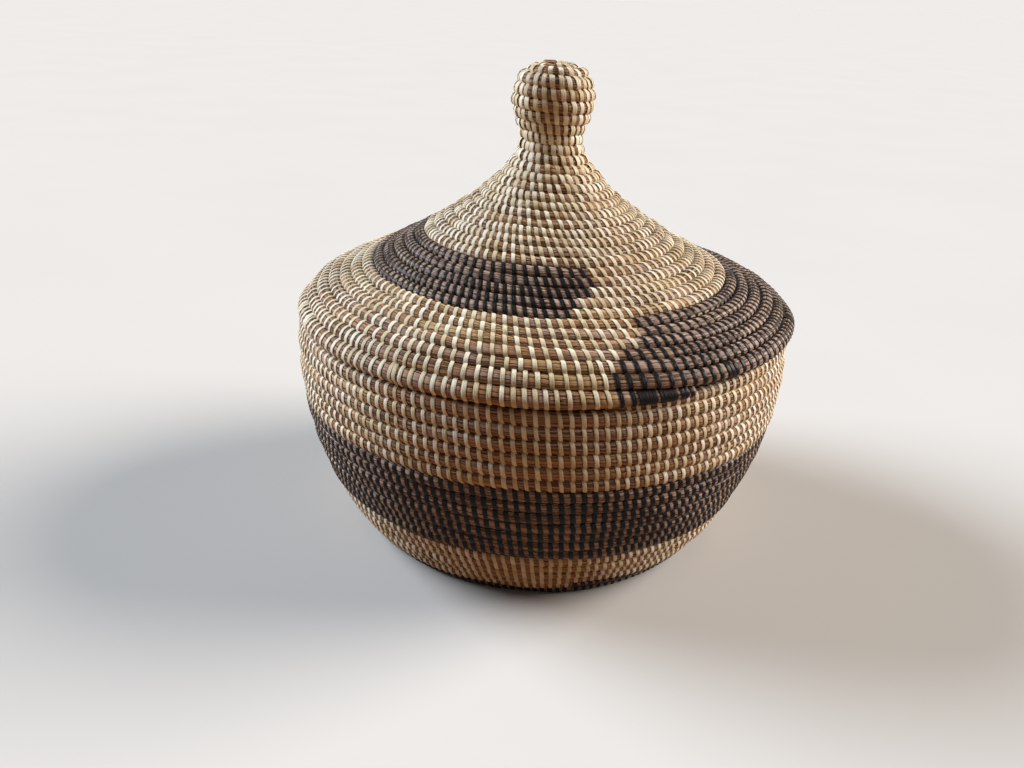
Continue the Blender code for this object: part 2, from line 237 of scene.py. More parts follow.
@dataclass(frozen=True)
class GrassFinish:
    """A bundle of dry stalks, whose colour changes from one handful of grass to the next."""

    name: str = "brown_grass_bundle"
    golden: tuple = linear(212, 175, 124)
    red: tuple = linear(186, 140, 100)
    mauve: tuple = linear(190, 158, 136)
    # the dark colour is the painted shade in the cracks between stalks, and also the colour of the fine dark
    # lines along the fibres
    dark: tuple = linear(68, 40, 20)
    stained: tuple = linear(190, 166, 151)
    handfuls_along: float = 11.0
    stalks_along: float = 16.0
    fibres_along: float = 60.0
    stalks_round: float = 13.0
    fibres_to_stalk: float = 3.2
    stain_share: float = 0.65
    gap_shade_share: float = 0.80
    thin_share: float = 0.30
    roughness: float = 0.50
    gloss: float = 0.12
    relief: float = 0.0008

    def material(self) -> bpy.types.Material:
        """Mixes handfuls, stalks and fibres, a painted shade in the cracks between them, and the tint of the
        dye.

        Returns:
            The material.
        """
        made = Surface(self.name)
        along, round_ = made.uv("winding")
        dyed, _ = made.uv("dye")
        handful = made.noise(made.point(along * self.handfuls_along, round_ * 0.8, 3.0), 1.0, 1.5)
        stops = [(0.34, self.red), (0.68, self.golden), (0.46, self.mauve), (0.56, self.red)]
        ramp = made.node("ShaderNodeValToRGB", {"stops": stops}, {0: handful})
        stalk = made.noise(made.point(along * self.stalks_along, round_ * self.stalks_round, 0.0), 1.0, 1.0)
        finer = round_ * self.stalks_round * self.fibres_to_stalk
        fine = made.noise(made.point(along * self.fibres_along, finer, 9.0), 1.0, 2.0)
        # painted shade: the cracks between stalks are darkened, besides being sunk by the bump below
        crack = 1.0 - (abs(stalk - 0.5)).ramp(0.010, 0.060)
        thin = 1.0 - (abs(fine - 0.47)).ramp(0.0, 0.055)
        shade = stalk.ramp(0.30, 0.66) * 0.34 + fine * 0.50 + 0.42
        tone = made.blend(dyed * self.stain_share, ramp.outputs[0], self.stained)
        colour = made.blend(1.0, tone, made.grey(shade), "MULTIPLY")
        # painted shade in the cracks and the fine dark fibre lines, both blended towards the dark colour
        colour = made.blend(crack * self.gap_shade_share + thin * self.thin_share, colour, self.dark)
        made.bump(stalk * 0.9 + fine * 0.5 - crack * 0.7, self.relief, 0.9)
        return made.finish({
            "Base Color": colour, "Roughness": fine * 0.2 + self.roughness, "Specular IOR Level": self.gloss,
        })


@dataclass(frozen=True)
class StripFinish:
    """Flat strips, each a little lighter or darker than the next, with fibres along them."""

    name: str
    light: tuple
    deep: tuple
    # colour of the rare stains, and also of the painted shade along each strip's edges
    stain_and_edge_shade: tuple
    roughness: float
    gloss: float
    coat: float
    fibre: float
    coat_roughness: float = 0.15
    relief: float = 0.0004

    def material(self) -> bpy.types.Material:
        """Mixes each strip's own tint, its fibres and stains, a painted shade along its edges, and the fold
        along it.

        Returns:
            The material.
        """
        made = Surface(self.name)
        across, along = made.uv("strip")
        number = across.whole()
        side = across - number
        place = {"Vector": made.point(number, 0.5, 0.0)}
        pick = made.node("ShaderNodeTexWhiteNoise", {"noise_dimensions": "2D"}, place)
        tint = Value(made, pick.outputs[0])
        fibre = made.noise(made.point(side * 7.0, along * 2.4, number * 3.7), 1.0, 2.0)
        blotch = made.noise(made.point(number * 1.7, along * 3.0, 5.0), 1.0, 1.0)
        base = made.blend((tint * 0.9 + fibre * 0.7 - 0.3).ramp(0.0, 1.0), self.light, self.deep)
        rare = blotch.ramp(0.62, 0.82) * self.fibre
        # painted shade: each strip darkens towards both of its edges, where they meet the bundle
        edge = (abs(side - 0.5)).ramp(0.38, 0.50)
        base = made.blend(rare * 0.5, base, self.stain_and_edge_shade)
        # the edges are blended towards the stains' colour as a painted shade
        base = made.blend(edge * 0.4 * self.fibre, base, self.stain_and_edge_shade)
        fold = 1.0 - (abs(side - 0.46)).ramp(0.0, 0.10)
        made.bump(fibre - fold * 0.5, self.relief, 0.7)
        return made.finish({
            "Base Color": base,
            "Roughness": fibre * 0.25 + self.roughness,
            "Specular IOR Level": self.gloss,
            "Coat Weight": self.coat,
            "Coat Roughness": self.coat_roughness,
        })


class Strip(Enum):
    """The two strips that the basket is sewn with."""

    CREAM = StripFinish(
        "cream_strip", light=linear(243, 232, 206), deep=linear(210, 190, 150),
        stain_and_edge_shade=linear(160, 124, 82), roughness=0.34, gloss=0.20, coat=0.0, fibre=1.0,
    )
    BLACK = StripFinish(
        "black_strip", light=linear(19, 13, 10), deep=linear(9, 6, 5),
        stain_and_edge_shade=linear(34, 23, 17), roughness=0.28, gloss=0.05, coat=0.12, fibre=0.4,
    )

    @property
    def slot(self) -> str:
        """Returns the name of the record's slot for the strip's finish."""
        return "cream_sewn_grass" if self is Strip.CREAM else "black_sewn_grass"

    @property
    def word(self) -> str:
        """Returns the strip's colour for the names of pieces."""
        return self.name.lower()


def smooth_line(radii: list, heights: list) -> np.ndarray:
    """Draws a smooth curve through an outline.

    Args:
        radii: Radii of the outline's points.
        heights: Heights of the same points.

    Returns:
        Points on the curve, as rows of radius and height.
    """
    knots = np.stack([radii, heights], axis=1)
    chords = np.linalg.norm(np.diff(knots, axis=0), axis=1)
    slopes = np.empty_like(knots)
    runs = np.diff(knots, axis=0) / chords[:, None]
    weights = chords[:-1, None] / (chords[:-1] + chords[1:])[:, None]
    slopes[1:-1] = runs[:-1] * (1.0 - weights) + runs[1:] * weights
    slopes[0] = 1.5 * runs[0] - 0.5 * slopes[1]
    slopes[-1] = 1.5 * runs[-1] - 0.5 * slopes[-2]
    line = [knots[0]]
    for index, chord in enumerate(chords):
        for share in np.arange(1, STEPS_PER_SPAN + 1) / STEPS_PER_SPAN:
            square, cube = share ** 2, share ** 3
            line.append(
                knots[index] * (2 * cube - 3 * square + 1)
                + slopes[index] * chord * (cube - 2 * square + share)
                + knots[index + 1] * (3 * square - 2 * cube)
                + slopes[index + 1] * chord * (cube - square)
            )
    return np.array(line)


def lengths_along(line: np.ndarray) -> np.ndarray:
    """Returns each point's distance from the start, along the line."""
    return np.concatenate([[0.0], np.cumsum(np.linalg.norm(np.diff(line, axis=0), axis=1))])


@dataclass
class Coil:
    """The middle line of a wound bundle, counted in turns in the order of the work.

    The sections of the bundle have three directions: along it in the order of the work, out
    to the seen side, and ahead to the round that comes next.
    """

    counts: np.ndarray
    middle: np.ndarray
    pitch: np.ndarray
    angle_at_start: float
    sense: float
    tip_turns: float = 0.0
    tip_share: float = 0.36
    wander: float = 0.00022
    seed: int = 1
    ease: Choice | None = None
    slope: np.ndarray = field(init=False)
    ahead: np.ndarray = field(init=False)
    waves: list = field(init=False)

    def __post_init__(self) -> None:
        """Works out the slopes of the line and the small waves in it."""
        self.slope = np.gradient(self.middle, self.counts, axis=0)
        self.ahead = self.slope / np.linalg.norm(self.slope, axis=1)[:, None]
        chance = np.random.default_rng(self.seed)
        self.waves = [
            (chance.uniform(2.3, 17.0), chance.uniform(0.0, TURN), chance.uniform(0.5, 1.0))
            for _ in range(7)
        ]

    @property
    def last(self) -> float:
        """Returns the count of turns at the end."""
        return float(self.counts[-1])

    def radius(self, turn: Numbers) -> Numbers:
        """Returns the distance of the middle line from the basket's middle."""
        return np.interp(turn, self.counts, self.middle[:, 0])

    def angle(self, turn: Numbers) -> Numbers:
        """Returns the angle about +Z."""
        return self.angle_at_start + self.sense * TURN * turn

    def taper(self, turn: np.ndarray) -> np.ndarray:
        """Thins the bundle near its end.

        Args:
            turn: Counts of turns.

        Returns:
            The share of its thickness that the bundle still has there.
        """
        if self.tip_turns == 0.0:
            return np.ones_like(turn)
        left = np.clip((self.last - turn) / self.tip_turns, 0.0, 1.0)
        return self.tip_share + (1.0 - self.tip_share) * np.sin(left * math.pi / 2.0)

    def sections(self, turn: np.ndarray) -> tuple:
        """Returns where sections of the bundle are.

        Args:
            turn: Counts of turns.

        Returns:
            Their middles, their directions along, out and ahead, and the bundle's pitch.
        """
        (radius, height), slope, lead = (
            [np.interp(turn, self.counts, rows[:, i]) for i in (0, 1)]
            for rows in (self.middle, self.slope, self.ahead)
        )
        if self.ease:
            radius = radius + self.ease(turn)
        angle = self.angle(turn)
        cos, sin = np.cos(angle), np.sin(angle)
        swing = self.sense * TURN * radius
        along = np.stack([slope[0] * cos - swing * sin, slope[0] * sin + swing * cos, slope[1]], axis=1)
        along /= np.linalg.norm(along, axis=1)[:, None]
        ahead = np.stack([lead[0] * cos, lead[0] * sin, lead[1]], axis=1)
        ahead -= along * np.sum(along * ahead, axis=1)[:, None]
        ahead /= np.linalg.norm(ahead, axis=1)[:, None]
        out = np.cross(ahead, along)
        middle = np.stack([radius * cos, radius * sin, height], axis=1)
        drift = sum(size * np.sin(rate * TURN * turn + phase) for rate, phase, size in self.waves)
        pitch = np.interp(turn, self.counts, self.pitch)
        left = self.taper(turn)
        middle = middle + out * (drift * self.wander)[:, None]
        middle -= ahead * (pitch * (1.0 - left) / 2.0)[:, None]
        return middle, along, out, ahead, pitch * left


def wound(radii: list, heights: list, shares: tuple, pitches: tuple, whole: bool) -> tuple:
    """Lays the middle line of a coil half a pitch inside an outline.

    Args:
        radii: Radii of the outline's points.
        heights: Heights of the same points.
        shares: Shares of the outline's length at which the pitches are given.
        pitches: Spacing of the rounds at those shares.
        whole: Whether the turns are rounded to a whole number.

    Returns:
        Counts of turns, the middle line and the pitch, along the outline.
    """
    outline = smooth_line(radii, heights)
    places = lengths_along(outline)
    spacing = np.interp(places / places[-1], shares, pitches)
    along = np.gradient(outline, axis=0)
    along /= np.linalg.norm(along, axis=1)[:, None]
    inward = np.stack([-along[:, 1], along[:, 0]], axis=1)
    middle = outline + inward * (spacing - TURN_GAP)[:, None] / 2.0
    places = lengths_along(middle)
    steps = np.diff(places) / ((spacing[:-1] + spacing[1:]) / 2.0)
    counts = np.concatenate([[0.0], np.cumsum(steps)])
    stretch = max(1, round(counts[-1])) / counts[-1] if whole else 1.0
    return counts * stretch, middle, spacing / stretch


@dataclass(frozen=True)
class SewingPlan:
    """How strips are spaced between two counts of turns.

    Each size is one number, or one for each of some radii of the coil: the spacing of the
    first round, the most and the least room between two strips, and how far a strip drifts
    from the one below it and leans on its own way over the bundle.
    """

    first: float
    last: float
    start: float | tuple
    most: float | tuple
    least: float | tuple
    drift: float | tuple
    lean: float | tuple
    radii: tuple = ()
    evening: float = 0.85
    jitter: float = 0.00020
    passes: int = 4
    pass_share: float = 0.2
    back_step: float = 0.0022

    def size(self, name: str, radius: float) -> float:
        """Returns one of the sizes at a radius."""
        size = getattr(self, name)
        return float(np.interp(radius, self.radii, size)) if isinstance(size, tuple) else size


class Sewing:
    """The places of all strips along a coil, in the order of the work."""

    def __init__(self, coil: Coil, plan: SewingPlan, seed: int) -> None:
        """Sews the coil round by round, each strip beside one of the round before.

        Args:
            coil: The coil.
            plan: The spacing of the strips.
            seed: Seed of the small differences between strips.
        """
        self.coil = coil
        self.plan = plan
        self.chance = np.random.default_rng(seed)
        self.feet: list = []
        self.heads: list = []
        self.first_round()
        self.later_rounds()
        self.even_out()
        self.settle()

    def sew(self, head: float) -> None:
        """Adds a strip that goes over the bundle and comes from further back.

        Args:
            head: Count of turns at which it reaches the next round.
        """
        radius = float(self.coil.radius(head))
        lean = self.plan.size("lean", radius) + self.chance.normal(0.0, self.plan.jitter * 1.5)
        self.heads.append(head)
        self.feet.append(head - lean / (TURN * radius))

    def first_round(self) -> None:
        """Spaces the strips of the first round freely."""
        turn = self.plan.first
        while turn < self.plan.first + 1.0:
            radius = float(self.coil.radius(turn))
            self.sew(turn)
            turn += self.plan.size("start", radius) * self.chance.uniform(0.95, 1.05) / (TURN * radius)

    def later_rounds(self) -> None:
        """Sets each strip beside one of the round before, adds some and leaves some out."""
        index, since, behind = 0, 2, self.heads[0]
        while index + 1 < len(self.heads):
            base, after = self.heads[index] + 1.0, self.heads[index + 1] + 1.0
            if base > self.plan.last:
                return
            radius = float(self.coil.radius(base))
            around = TURN * radius
            even = (after - base) - (base - behind)
            behind = base
            step = self.plan.size("drift", radius) + self.chance.normal(0.0, self.plan.jitter)
            head = base + step / around + self.plan.evening * even / 2.0
            room = (head - self.heads[-1]) * around
            index += 1
            if room < self.plan.size("least", radius):
                continue
            if room > self.plan.size("most", radius) and since > 1:
                self.sew((self.heads[-1] + head) / 2.0)
                since = 0
            self.sew(head)
            since += 1

    def even_out(self) -> None:
        """Moves each strip a little towards the middle of its neighbours on the bundle."""
        heads, feet = np.array(self.heads), np.array(self.feet)
        for _ in range(self.plan.passes):
            step = self.plan.pass_share * (heads[2:] - 2.0 * heads[1:-1] + heads[:-2])
            heads[1:-1] += step
            feet[1:-1] += step
        self.heads, self.feet = heads, feet

    def settle(self) -> None:
        """Turns the lists into rows, with the place at which each strip comes out inside."""
        feet, heads = np.array(self.feet), np.array(self.heads)
        order = np.argsort((feet + heads) / 2.0)
        self.feet, self.heads = feet[order], heads[order]
        self.backs = self.heads + self.plan.back_step / (TURN * self.coil.radius(self.heads))

    @property
    def middles(self) -> np.ndarray:
        """Returns the counts of turns halfway up the strips."""
        return (self.feet + self.heads) / 2.0


def deselect() -> None:
    """Leaves edit mode and deselects every object."""
    if bpy.context.object and bpy.context.object.mode != "OBJECT":
        bpy.ops.object.mode_set(mode="OBJECT")
    bpy.ops.object.select_all(action="DESELECT")


def placed(name: str, data: bpy.types.ID) -> bpy.types.Object:
    """Adds an object to the scene.

    Args:
        name: Its name.
        data: The mesh, camera or light that it shows.

    Returns:
        The object, at the origin.
    """
    item = bpy.data.objects.new(name, data)
    bpy.context.scene.collection.objects.link(item)
    return item


def smooth(item: bpy.types.Object, degrees: float) -> None:
    """Shades a piece smoothly.

    Args:
        item: The piece.
        degrees: Turn between two faces from which their edge stays sharp.
    """
    deselect()
    item.select_set(True)
    bpy.context.view_layer.objects.active = item
    bpy.ops.object.shade_smooth_by_angle(angle=math.radians(degrees))
    deselect()


def corners_of(item: bpy.types.Object) -> np.ndarray:
    """Reads the corners of a mesh.

    Args:
        item: An object with a mesh.

    Returns:
        Rows of x, y, z.
    """
    rows = np.empty(len(item.data.vertices) * 3)
    item.data.vertices.foreach_get("co", rows)
    return rows.reshape(-1, 3)


def faces_in_order(item: bpy.types.Object, order: np.ndarray) -> list[tuple]:
    """Puts the faces of a mesh in the order of their corners.

    Args:
        item: An object with a mesh.
        order: Numbers of its corners, in their new order.

    Returns:
        The faces, as rows of the corners' new numbers.
    """
    ranks = np.argsort(order)
    faces = [ranks[list(face.vertices)] for face in item.data.polygons]
    return sorted(tuple(np.roll(face, -np.argmin(face)).tolist()) for face in faces)


class StripPattern:
    """One strip on its way round a bundle, modelled once for the bowl's pitch.

    X is across the strip, Y out and Z ahead. It starts in the round before on the outer side
    and ends in it on the inner side.
    """

    WAY = (
        (1.20, -6.40), (2.30, -5.45), (3.62, -3.95), (4.70, -1.85), (4.70, 1.85), (3.58, 4.05),
        (0.00, 5.30), (-3.58, 4.05), (-4.70, 1.85), (-4.70, -1.85), (-3.62, -3.95),
        (-2.30, -5.45), (-1.20, -6.40),
    )
    THICKNESS = 0.00062
    WIDTH_SHARE = 0.98

    def __init__(self) -> None:
        """Models the strip and keeps its corners, all of its four-sided faces and its shares.

        The extrude operator leaves them in an order of its own that changes from run to run,
        so they are put in order: along the strip, across it, and from the inside out.
        """
        item = self.model()
        corners = corners_of(item)
        way = np.array(self.WAY) / 1000.0
        nearest = np.argmin(np.linalg.norm(corners[:, None, 1:] - way[None, :, :], axis=2), axis=1)
        across, out, ahead = corners.round(6).T
        order = np.lexsort((ahead, out, across, nearest))
        self.corners = corners[order]
        self.shares = nearest[order] / (len(way) - 1.0)
        self.faces = np.array(faces_in_order(item, order))
        bpy.data.objects.remove(item, do_unlink=True)

    def model(self) -> bpy.types.Object:
        """Extrudes a flat diamond section along the way, turning it at each step."""
        deselect()
        way = [Vector((0.0, y / 1000.0, z / 1000.0)) for y, z in self.WAY]
        runs = [(b - a).normalized() for a, b in zip(way, way[1:])]
        aims = [runs[0], *((a + b).normalized() for a, b in zip(runs, runs[1:])), runs[-1]]
        angles = np.unwrap([math.atan2(aim.z, aim.y) for aim in aims])
        bpy.ops.mesh.primitive_circle_add(vertices=4, radius=0.5, fill_type="NGON", location=way[0])
        item = bpy.context.object
        item.scale = (1.0, self.THICKNESS, 1.0)
        item.rotation_euler = (angles[0] - math.pi / 2.0, 0.0, 0.0)
        bpy.ops.object.transform_apply(location=True, rotation=True, scale=True)
        for before, after, old, new in zip(way, way[1:], angles, angles[1:]):
            bpy.ops.object.mode_set(mode="EDIT")
            bpy.ops.mesh.extrude_region_move(TRANSFORM_OT_translate={"value": after - before})
            bpy.ops.transform.rotate(
                value=-(new - old), orient_axis="X", orient_type="GLOBAL", center_override=after
            )
            bpy.ops.object.mode_set(mode="OBJECT")
        return item

    def copies(self, count: int) -> tuple:
        """Numbers the faces of some copies of the strip.

        Args:
            count: How many copies.

        Returns:
            The faces, and the UV rows of their corners: across, with the copy's number before
            the point, and along.
        """
        copy = np.arange(count)[:, None, None]
        across = copy + (self.corners[:, 0] * self.WIDTH_SHARE + 0.5)[self.faces]
        along = np.broadcast_to(self.shares[self.faces], across.shape)
        faces = self.faces + copy * len(self.corners)
        return faces.reshape(-1, 4), np.stack([across, along], axis=-1).reshape(-1, 2)


@dataclass(frozen=True)
class Kit:
    """What the basket is made with: the strip's pattern, the grass and the strips."""

    pattern: StripPattern
    grass: bpy.types.Material
    strips: dict[Strip, bpy.types.Material]


def new_piece(name: str, corners: np.ndarray, faces: list, maps: dict) -> bpy.types.Object:
    """Makes a mesh piece from rows of corners, faces and UV maps.

    Args:
        name: Name of the piece.
        corners: Rows of x, y, z.
        faces: Rows of corner numbers, with one length of row in each array.
        maps: UV maps by name, with a row for each corner of each face, in the order of the faces.

    Returns:
        The piece, at the origin.
    """
    mesh = bpy.data.meshes.new(name)
    mesh.vertices.add(len(corners))
    corners[:, 2] = np.maximum(corners[:, 2], FLOOR_LEVEL)
    mesh.vertices.foreach_set("co", corners.ravel())
    loops = np.concatenate([rows.ravel() for rows in faces])
    totals = np.concatenate([np.full(len(rows), rows.shape[1]) for rows in faces])
    mesh.loops.add(len(loops))
    mesh.loops.foreach_set("vertex_index", loops)
    mesh.polygons.add(len(totals))
    mesh.polygons.foreach_set("loop_start", np.concatenate([[0], np.cumsum(totals)[:-1]]))
    mesh.polygons.foreach_set("loop_total", totals)
    for label, rows in maps.items():
        mesh.uv_layers.new(name=label).data.foreach_set("uv", rows.ravel())
    mesh.update(calc_edges=True)
    mesh.validate()
    item = placed(name, mesh)
    smooth(item, 48.0)
    return item


@dataclass
class SewnCoil:
    """A coil with its bundle and its strips, parted into the stretches of the CAD nodes.

    The bundle's reach and fullness are shares of its pitch. It is pinched under each strip
    and bulges between two strips that leave it room.
    """

    coil: Coil
    sewing: Sewing
    kit: Kit
    body: str
    width: float = 0.0030
    black_width: float = 0.0030
    corners_round: int = 16
    reach_ahead: float = 0.508
    reach_out: float = 0.485
    fullness: float = 0.78
    pinch: float = 0.935
    bulge: float = 1.035
    cut_end: float = 0.9
    shoulder: float = 0.0019
    full_room: float = 0.006
    knobbly: float = 0.009
    narrow_radii: tuple = (0.030, 0.060)
    narrow_widening: tuple = (1.24, 1.0)
    seed: int = 5
    rings: tuple = field(init=False)

    def __post_init__(self) -> None:
        """Shapes the whole bundle, before it is parted."""
        self.rings = self.bundle_corners()

    def ring_places(self) -> tuple:
        """Sets three rings of the bundle between each two strips.

        Returns:
            The rings' counts of turns, how full they are and how far they slant.
        """
        middles, slants = self.sewing.middles, self.sewing.heads - self.sewing.feet
        room = np.diff(middles) * TURN * self.coil.radius(middles[:-1])
        edge = np.clip(self.shoulder / np.maximum(room, 0.0001), 0.0, 0.42)
        shares = np.stack([edge, np.full_like(edge, 0.5), 1.0 - edge], axis=1)
        turns, leans = (
            rows[:-1, None] * (1.0 - shares) + rows[1:, None] * shares for rows in (middles, slants)
        )
        bulge = (self.bulge - self.pinch) * np.clip(room / self.full_room, 0.0, 1.2)
        sizes = self.pinch + bulge[:, None] * (0.0, 1.0, 0.0)
        ends = (self.coil.counts[0], self.coil.last), (0.0, 0.0), (self.cut_end, self.cut_end)
        turns, leans, sizes = (
            np.concatenate([[start], rows.ravel(), [end]])
            for rows, (start, end) in zip((turns, leans, sizes), ends)
        )
        kept = np.concatenate([[True], np.diff(turns) > 0.0])
        return turns[kept], sizes[kept], leans[kept]

    def bundle_corners(self) -> tuple:
        """Shapes the bundle's rings.

        Returns:
            The rings' counts of turns, and their corners by ring.
        """
        turns, sizes, leans = self.ring_places()
        chance = np.random.default_rng(self.seed)
        angles = np.arange(self.corners_round) * TURN / self.corners_round + math.pi
        rates = chance.uniform(9.0, 60.0, (3, self.corners_round))
        phases = chance.uniform(0.0, TURN, (3, self.corners_round))
        run = turns[:, None, None] * np.mean(TURN * self.coil.middle[:, 0])
        rough = 1.0 + self.knobbly * np.sin(run * rates * 4.0 + phases).sum(axis=1)
        circle = np.cos(angles), np.sin(angles)
        cos, sin = (np.sign(part) * np.abs(part) ** self.fullness for part in circle)
        out = cos[None, :] * self.reach_out * sizes[:, None] * rough
        ahead = sin[None, :] * self.reach_ahead * rough
        places = turns[:, None] + leans[:, None] * np.clip(ahead, -0.5, 0.5)
        places = np.clip(places, turns[0], turns[-1])
        middle, _, outward, onward, pitch = self.coil.sections(places.ravel())
        offset = outward * (out.ravel() * pitch)[:, None] + onward * (ahead.ravel() * pitch)[:, None]
        return turns, (middle + offset).reshape(len(turns), self.corners_round, 3)

    def bundle(self, node: str, first: float, last: float, black: Choice) -> bpy.types.Object:
        """Makes the bundle of one stretch, with closed ends.

        Args:
            node: CAD node that the stretch stands for.
            first: Count of turns at which it starts.
            last: Count of turns at which it ends.
            black: Function that says which places are sewn black, where the dye stains.

        Returns:
            The piece.
        """
        turns, rings = self.rings
        low, high = np.searchsorted(turns, (first - 1e-9, last - 1e-9))
        turns, rings = turns[low:high + 1], rings[low:high + 1]
        spans, sides = len(rings) - 1, self.corners_round
        corners = np.concatenate([rings.reshape(-1, 3), rings[[0, -1]].mean(axis=1)])
        side = np.arange(sides)
        after, hub = (side + 1) % sides, np.full(sides, (spans + 1) * sides)
        near = np.arange(spans)[:, None] * sides
        walls = np.stack([near + side, near + sides + side, near + sides + after, near + after], axis=-1)
        end = spans * sides
        ends = [np.stack([side, after, hub], axis=1), np.stack([end + after, end + side, hub + 1], axis=1)]
        run = turns[0] * 3.0 + (turns - turns[0]) * TURN * float(np.mean(self.coil.radius(turns)))
        dark = np.asarray(black(turns), dtype=float)
        rows = [
            np.broadcast_arrays(run[i:i + spans, None], (side + j) / sides, dark[i:i + spans, None])
            for i, j in ((0, 0), (1, 0), (1, 1), (0, 1))
        ]
        rows = np.moveaxis(np.array(rows), (0, 1), (2, 3)).reshape(-1, 3)
        rows = np.concatenate([rows, np.zeros((sides * 6, 3))])
        maps = {"winding": rows[:, :2], "dye": rows[:, 2:] * (1.0, 0.0)}
        return new_piece(f"{node}_grass", corners, [walls.reshape(-1, 4), *ends], maps)

    def strips(self, node: str, kind: Strip, chosen: np.ndarray) -> bpy.types.Object:
        """Lays a copy of the strip at each chosen place of the sewing.

        Args:
            node: CAD node that the strips stand for.
            kind: Cream or black.
            chosen: Which places of the sewing are meant.

        Returns:
            The piece.
        """
        sewing, made = self.sewing, self.kit.pattern
        feet, heads, backs = (rows[chosen][:, None] for rows in (sewing.feet, sewing.heads, sewing.backs))
        share = made.shares[None, :] * 2.0
        turns = np.where(share < 1.0, feet + (heads - feet) * share, heads + (backs - heads) * (share - 1.0))
        chance = np.random.default_rng(self.seed + 11)
        wide = self.black_width if kind is Strip.BLACK else self.width
        wide = wide * chance.uniform(0.90, 1.08, len(sewing.feet))[chosen]
        wide = wide * np.interp(self.coil.radius(heads[:, 0]), self.narrow_radii, self.narrow_widening)
        middle, along, outward, onward, pitch = self.coil.sections(turns.ravel())
        across, out, ahead = (np.tile(made.corners[:, i], len(feet)) for i in range(3))
        across = across * np.repeat(wide, len(made.corners))
        scale = pitch / BOWL_PITCH
        corners = middle + along * across[:, None] + outward * (out * scale)[:, None]
        corners += onward * (ahead * scale)[:, None]
        faces, rows = made.copies(len(feet))
        return new_piece(f"{node}_{kind.word}_strips", corners, [faces], {"strip": rows})

    def dress(self, stretches: list, black: Choice) -> None:
        """Builds and finishes the pieces of every stretch.

        Args:
            stretches: Node, first and last count of turns of each.
            black: Function that says which places are sewn black.
        """
        middles = self.sewing.middles
        dark = black(middles)
        for node, first, last in stretches:
            grass = self.bundle(node, first, last, black)
            finish_piece(grass, self.body, node, self.kit.grass)
            here = (middles >= first) & (middles < last)
            for kind in Strip:
                chosen = here & (dark if kind is Strip.BLACK else ~dark)
                if chosen.any():
                    made = self.strips(node, kind, chosen)
                    finish_piece(made, self.body, node, self.kit.strips[kind])


def finish_piece(item: bpy.types.Object, body: str, node: str, look: bpy.types.Material) -> None:
    """Finishes a piece and reports it.

    Args:
        item: The piece.
        body: Body that it rides on.
        node: CAD node that it stands for.
        look: Its material.
    """
    item.data.materials.clear()
    item.data.materials.append(look)
    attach(item, body)
    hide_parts(node)
    LOG.info("%s: %d faces, on %s", item.name, len(item.data.polygons), body)


@dataclass
class Bowl:
    """The basket: a flat spiral floor, and the wall that climbs from it."""

    kit: Kit
    floor_pitch: float = 0.0092
    floor_height: float = 0.0051
    heart_radius: float = 0.0045
    floor_points: int = 400
    black_width: float = 0.0034
    marks: tuple = (0.0, 1.0, 5.5, 12.5, 18.0, 19.0)
    nodes: tuple = ("foot_coil", "lower_wall_coil", "dark_band_coil", "upper_wall_coil", "rim_coil")

    def wall(self) -> Coil:
        """Returns the wall's coil, which climbs clockwise seen from above."""
        radii = [BELLY_RADIUS * share for share in WALL_RADIUS_SHARES]
        heights = [RIM_HEIGHT * share for share in WALL_HEIGHT_SHARES]
        counts, middle, pitch = wound(radii, heights, (0.0, 1.0), (BOWL_PITCH, BOWL_PITCH), True)
        return Coil(counts, middle, pitch, RIM_TIP_ANGLE, -1.0, tip_turns=0.11, seed=3)

    def floor(self, wall: Coil) -> Coil:
        """Lays the floor's coil, from its middle out to the start of the wall's.

        Args:
            wall: The wall's coil.

        Returns:
            The floor's coil.
        """
        outer, top = wall.middle[0]
        turns = (outer - self.heart_radius) / self.floor_pitch
        counts = np.linspace(0.0, turns, self.floor_points)
        radii = np.linspace(self.heart_radius, outer, self.floor_points)
        rise = np.clip(1.0 - (turns - counts), 0.0, 1.0) ** 2
        heights = self.floor_height + (top - self.floor_height) * rise
        pitch = np.full(self.floor_points, self.floor_pitch)
        start = RIM_TIP_ANGLE + TURN * turns
        return Coil(counts, np.stack([radii, heights], axis=1), pitch, start, -1.0, wander=0.00008, seed=8)

    def build(self) -> None:
        """Builds the floor and the wall."""
        wall = self.wall()
        floor = self.floor(wall)
        plan = SewingPlan(
            0.12, floor.last - 0.004, start=0.0060, most=(0.0080, 0.0074), least=0.003,
            drift=0.0008, lean=(0.0015, 0.0030), radii=(0.005, 0.14),
        )
        sewn = SewnCoil(floor, Sewing(floor, plan, 21), self.kit, "basket", seed=31)
        sewn.dress([("floor_coil", 0.0, floor.last)], lambda turns: turns > floor.last - 1.0)
        plan = SewingPlan(
            0.0, wall.last - 0.012, start=0.0053, most=0.0105, least=0.0040,
            drift=0.0008, lean=0.0029, evening=0.7,
        )
        sewing = Sewing(wall, plan, 22)
        sewn = SewnCoil(wall, sewing, self.kit, "basket", black_width=self.black_width, seed=32)
        sewn.dress(list(zip(self.nodes, self.marks, self.marks[1:])), self.black)

    @staticmethod
    def black(turns: np.ndarray) -> np.ndarray:
        """Returns which places of the wall are sewn black: the foot round and the wide band."""
        return (turns < 1.0) | ((turns > 5.5) & (turns < 12.5))


